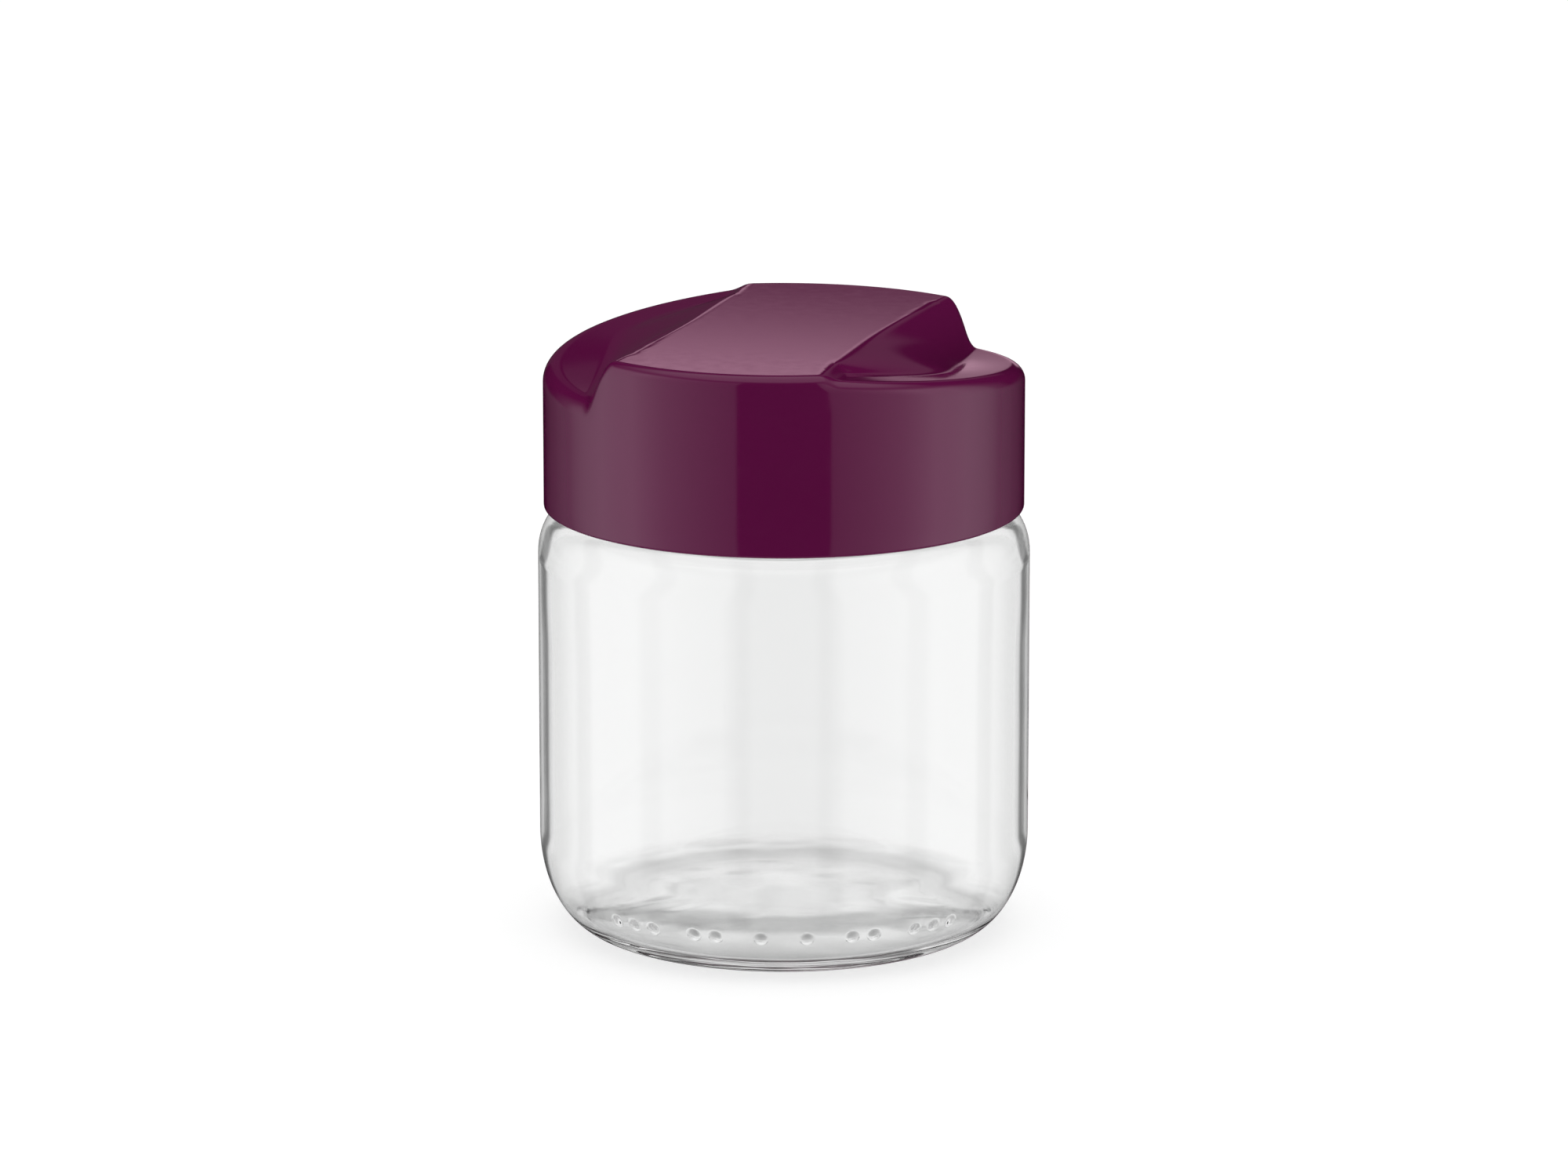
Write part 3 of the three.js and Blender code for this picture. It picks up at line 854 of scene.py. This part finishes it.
# Studio

def gloss_panels(tree, across, by_turn, by_rise):
    """The level that gloss sees, from panels all round and the rose cards, and the cards' share of it."""
    sides = maths(tree, "MULTIPLY", by_turn(SIDE_PANELS), by_rise(SIDE_RISE))
    sides = dimmed(tree, sides, maths(tree, "MULTIPLY", by_turn(SIDE_GAP_ROUND), by_rise(SIDE_GAP_RISE)))
    cards = 0.0
    for (left, left_full, right_full, right), levels in BACK_CARDS:
        from_left, from_right = ease(tree, across, left, left_full), ease(tree, across, right, right_full)
        wide = maths(tree, "MULTIPLY", from_left, from_right)
        cards = maths(tree, "MULTIPLY_ADD", by_rise(levels), wide, cards)
    cards = maths(tree, "MULTIPLY", cards, by_turn(BACK_PANEL))
    above_and_below = maths(tree, "ADD", by_rise(TOP_PANEL), by_rise(FLOOR_PANEL))
    level = maths(tree, "ADD", maths(tree, "ADD", sides, cards), above_and_below)
    return level, maths(tree, "DIVIDE", cards, maths(tree, "MAXIMUM", level, LEAST_LIGHT))


def glass_panels(tree, place, ray, by_turn, by_rise):
    """The level that glass sees: panels with darker gaps, and others for light that bounced inside it."""
    around = maths(tree, "ARCTAN2", place["X"], place["Y"])
    panels = maths(tree, "COSINE", maths(tree, "MULTIPLY", around, float(PANEL_COUNT)))
    through = ease(tree, panels, GAP_EDGE, GAP_MIDDLE, 1.0, GAP_LEVEL)
    through = maths(tree, "MULTIPLY", through, by_rise(GLASS_RISE))
    edge = ease(tree, panels, EDGE_GAP_START, EDGE_GAP_MIDDLE, 1.0, EDGE_GAP_LEVEL)
    inside = maths(tree, "MULTIPLY", by_turn(INSIDE_PANELS), by_rise(INSIDE_RISE))
    inside = dimmed(tree, inside, maths(tree, "MULTIPLY", by_turn(FLOOR_GAP_ROUND), by_rise(FLOOR_GAP_RISE)))
    inside = mix_level(tree, maths(tree, "LESS_THAN", ray["Transmission Depth"], ONE_WALL), inside, edge)
    return mix_level(tree, maths(tree, "GREATER_THAN", ray["Glossy Depth"], ONE_BOUNCE), through, inside)


def studio_world():
    """White to the camera, plain to matt surfaces, and a ring of soft panels to gloss and glass."""
    world = bpy.data.worlds.new("white_studio")
    bpy.context.scene.world = world
    world.use_nodes = True
    tree = world.node_tree
    ray = node(tree, "ShaderNodeLightPath").outputs
    towards = node(tree, "ShaderNodeTexCoord").outputs["Generated"]
    place = node(tree, "ShaderNodeSeparateXYZ", None, {"Vector": towards}).outputs
    aside, nearer = maths(tree, "ABSOLUTE", place["X"]), maths(tree, "MULTIPLY", place["Y"], -1)
    turn_share = maths(tree, "DIVIDE", maths(tree, "ARCTAN2", aside, nearer), math.pi)
    rise_share = maths(tree, "MULTIPLY_ADD", maths(tree, "ARCSINE", place["Z"]), 1 / math.pi, 0.5)

    def by_turn(stops):
        """A level that follows stops in degrees round from the camera's side."""
        return ramp(tree, turn_share, [(turn / HALF_TURN, level) for turn, level in stops])

    def by_rise(stops):
        """A level that follows stops in degrees above the horizon."""
        return ramp(tree, rise_share, [(0.5 + rise / HALF_TURN, level) for rise, level in stops])

    reflected, card_share = gloss_panels(tree, place["X"], by_turn, by_rise)
    level = mix_level(tree, ray["Is Glossy Ray"], PLAIN_LEVEL, reflected)
    level = mix_level(tree, ray["Is Transmission Ray"], level, glass_panels(tree, place, ray, by_turn, by_rise))
    level = mix_level(tree, ray["Is Camera Ray"], level, 1.0)
    mirrored = maths(tree, "SUBTRACT", ray["Is Glossy Ray"], ray["Is Transmission Ray"])
    card_share = maths(tree, "MULTIPLY", card_share, maths(tree, "MAXIMUM", mirrored, 0.0))
    background = tree.nodes["Background"].inputs
    tree.links.new(level, background["Strength"])
    tree.links.new(mix_colour(tree, card_share, (1, 1, 1, 1), CARD_COLOUR), background["Color"])


def hide_from(thing, *rays):
    """Keeps a thing of the studio out of these rays."""
    for ray in rays:
        setattr(thing, "visible_" + ray, False)


def stage_disc(name, radius, drop):
    """A flat matt disc of the stage round the axis, and its material's tree and shader."""
    angles = even_turn(STAGE_SEGMENTS)
    level = np.full(STAGE_SEGMENTS, -drop)
    corners = np.column_stack((radius * np.cos(angles), radius * np.sin(angles), level))
    mesh = bpy.data.meshes.new(name)
    mesh.from_pydata(corners.tolist(), [], [range(STAGE_SEGMENTS)])
    disc = new_object(name, mesh)
    paint = bpy.data.materials.new(name)
    paint.use_nodes = True
    shader = paint.node_tree.nodes["Principled BSDF"]
    set_values(shader, {"Roughness": 1.0, "Specular IOR Level": 0.0, "Emission Color": (1, 1, 1, 1)})
    mesh.materials.append(paint)
    return disc, paint.node_tree, shader


def studio_floor():
    """A white floor, partly lit from within so that its shadows stay soft, that gloss and glass look past."""
    floor, _, shader = stage_disc("floor", FLOOR_RADIUS, FLOOR_DROP)
    set_values(shader, {"Base Color": (FLOOR_COLOUR, FLOOR_COLOUR, FLOOR_COLOUR, 1),
                        "Emission Strength": FLOOR_GLOW})
    hide_from(floor, "glossy", "transmission")


def glowing_shade_patch():
    """A glowing disc that stands in for the table as it shows through the jar's base and nowhere else, with a
    painted contact shadow darkest where the glass stands on it, and painted shade along an arc and across the
    front.
    """
    patch, tree, shader = stage_disc("glowing_shade_under_jar", TABLE_RADIUS, TABLE_DROP)
    place = node(tree, "ShaderNodeTexCoord").outputs["Object"]
    distance = node(tree, "ShaderNodeVectorMath", {"operation": "LENGTH"}, {0: place}).outputs["Value"]
    # Painted contact shadow and painted shade by distance from the axis, scaled to the brightest glow
    stops = [(radius * MM / TABLE_RADIUS, level) for radius, level in PAINTED_TABLE_LEVELS]
    level = ramp(tree, maths(tree, "DIVIDE", distance, TABLE_RADIUS), stops)
    level = maths(tree, "MULTIPLY", level, TABLE_BRIGHTEST)
    mottle = node(tree, "ShaderNodeTexNoise", None, {"Vector": place, "Scale": 90.0, "Detail": 1.0})
    uneven = ease(tree, mottle.outputs["Fac"], *TABLE_MOTTLE_RANGE, 1 - TABLE_MOTTLE, 1 + TABLE_MOTTLE)
    level = maths(tree, "MULTIPLY", level, uneven)
    # Painted shade along an arc across the front half, fading out towards the back
    from_centre = node(tree, "ShaderNodeVectorMath", {"operation": "DISTANCE"},
                       {0: place, 1: (0, TABLE_SHADE_CENTRE, 0)}).outputs["Value"]
    from_curve = maths(tree, "ABSOLUTE", maths(tree, "SUBTRACT", from_centre, TABLE_SHADE_RADIUS))
    ahead = node(tree, "ShaderNodeSeparateXYZ", None, {"Vector": place}).outputs["Y"]
    shade = maths(tree, "MULTIPLY", ease(tree, from_curve, *TABLE_SHADE_REACH, TABLE_SHADE, 0.0),
                  ease(tree, ahead, *TABLE_SHADE_END, 1.0, 0.0))
    level = dimmed(tree, level, shade)
    # Painted shade across the front of the disc
    level = maths(tree, "MULTIPLY", level, ease(tree, ahead, *PAINTED_FRONT_SHADE, 1.0, PAINTED_FRONT_SHADE_LEVEL))
    # The painted level is the disc's glow, over a black base
    tree.links.new(level, shader.inputs["Emission Strength"])
    tree.links.new(ease(tree, distance, TABLE_RADIUS, TABLE_FADE), shader.inputs["Alpha"])
    set_values(shader, {"Base Color": (0, 0, 0, 1)})
    hide_from(patch, "camera", "diffuse", "glossy", "shadow")


def studio_lamp(name, size, power, place, turn):
    """One wide soft round lamp that gloss and glass look past."""
    light = bpy.data.lights.new(name, "AREA")
    light.shape = "DISK"
    light.size = size
    light.energy = power
    lamp = new_object(name, light)
    lamp.location = place
    lamp.rotation_euler = (0, turn, 0)
    hide_from(lamp, "camera", "glossy", "transmission")


def studio_lamps():
    """A wide lamp overhead and one on each side."""
    studio_lamp("overhead", LAMP_SIZE, LAMP_POWER, (0, 0, LAMP_HEIGHT), 0)
    aside, height = SIDE_LAMP_PLACE
    for name, side in (("right_lamp", 1), ("left_lamp", -1)):
        turn = side * math.atan2(aside, height)
        studio_lamp(name, SIDE_LAMP_SIZE, SIDE_LAMP_POWER, (side * aside, 0, height), turn)


def photo_camera():
    """The photograph's camera, looking slightly down at the jar."""
    lens = bpy.data.cameras.new("camera")
    lens.sensor_width = SENSOR_WIDTH
    lens.lens = FOCAL_PIXELS / PHOTO_WIDTH * SENSOR_WIDTH
    camera = new_object("camera", lens)
    camera.location = (0, -CAMERA_DISTANCE, CAMERA_HEIGHT)
    camera.rotation_euler = (math.pi / 2 - CAMERA_PITCH, 0, 0)
    bpy.context.scene.camera = camera


cycles = bpy.context.scene.cycles
cycles.max_bounces = cycles.glossy_bounces = cycles.transmission_bounces = LIGHT_BOUNCES
photo_camera()
studio_world()
studio_floor()
glowing_shade_patch()
studio_lamps()

surface_group = moulded_surface_group()
thread = thread_tree()
made = (
    (glass_jar(thread, dot_tree(), clear_glass(surface_group)), "jar", "glass_jar", "clear_glass"),
    (lid_shell(thread, lid_plastic(surface_group)), "lid", "lid_shell", "lid_plastic"),
    (inner_plate(plate_plastic(surface_group)), "lid", "inner_plate", "plate_plastic"),
    (seal_ring(seal_silicone(surface_group)), "seal", "seal_ring", "seal"),
)
for piece, body, replaced, slot in made:
    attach(piece, body)
    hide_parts(replaced)

bpy.context.scene.view_settings.view_transform = "Standard"
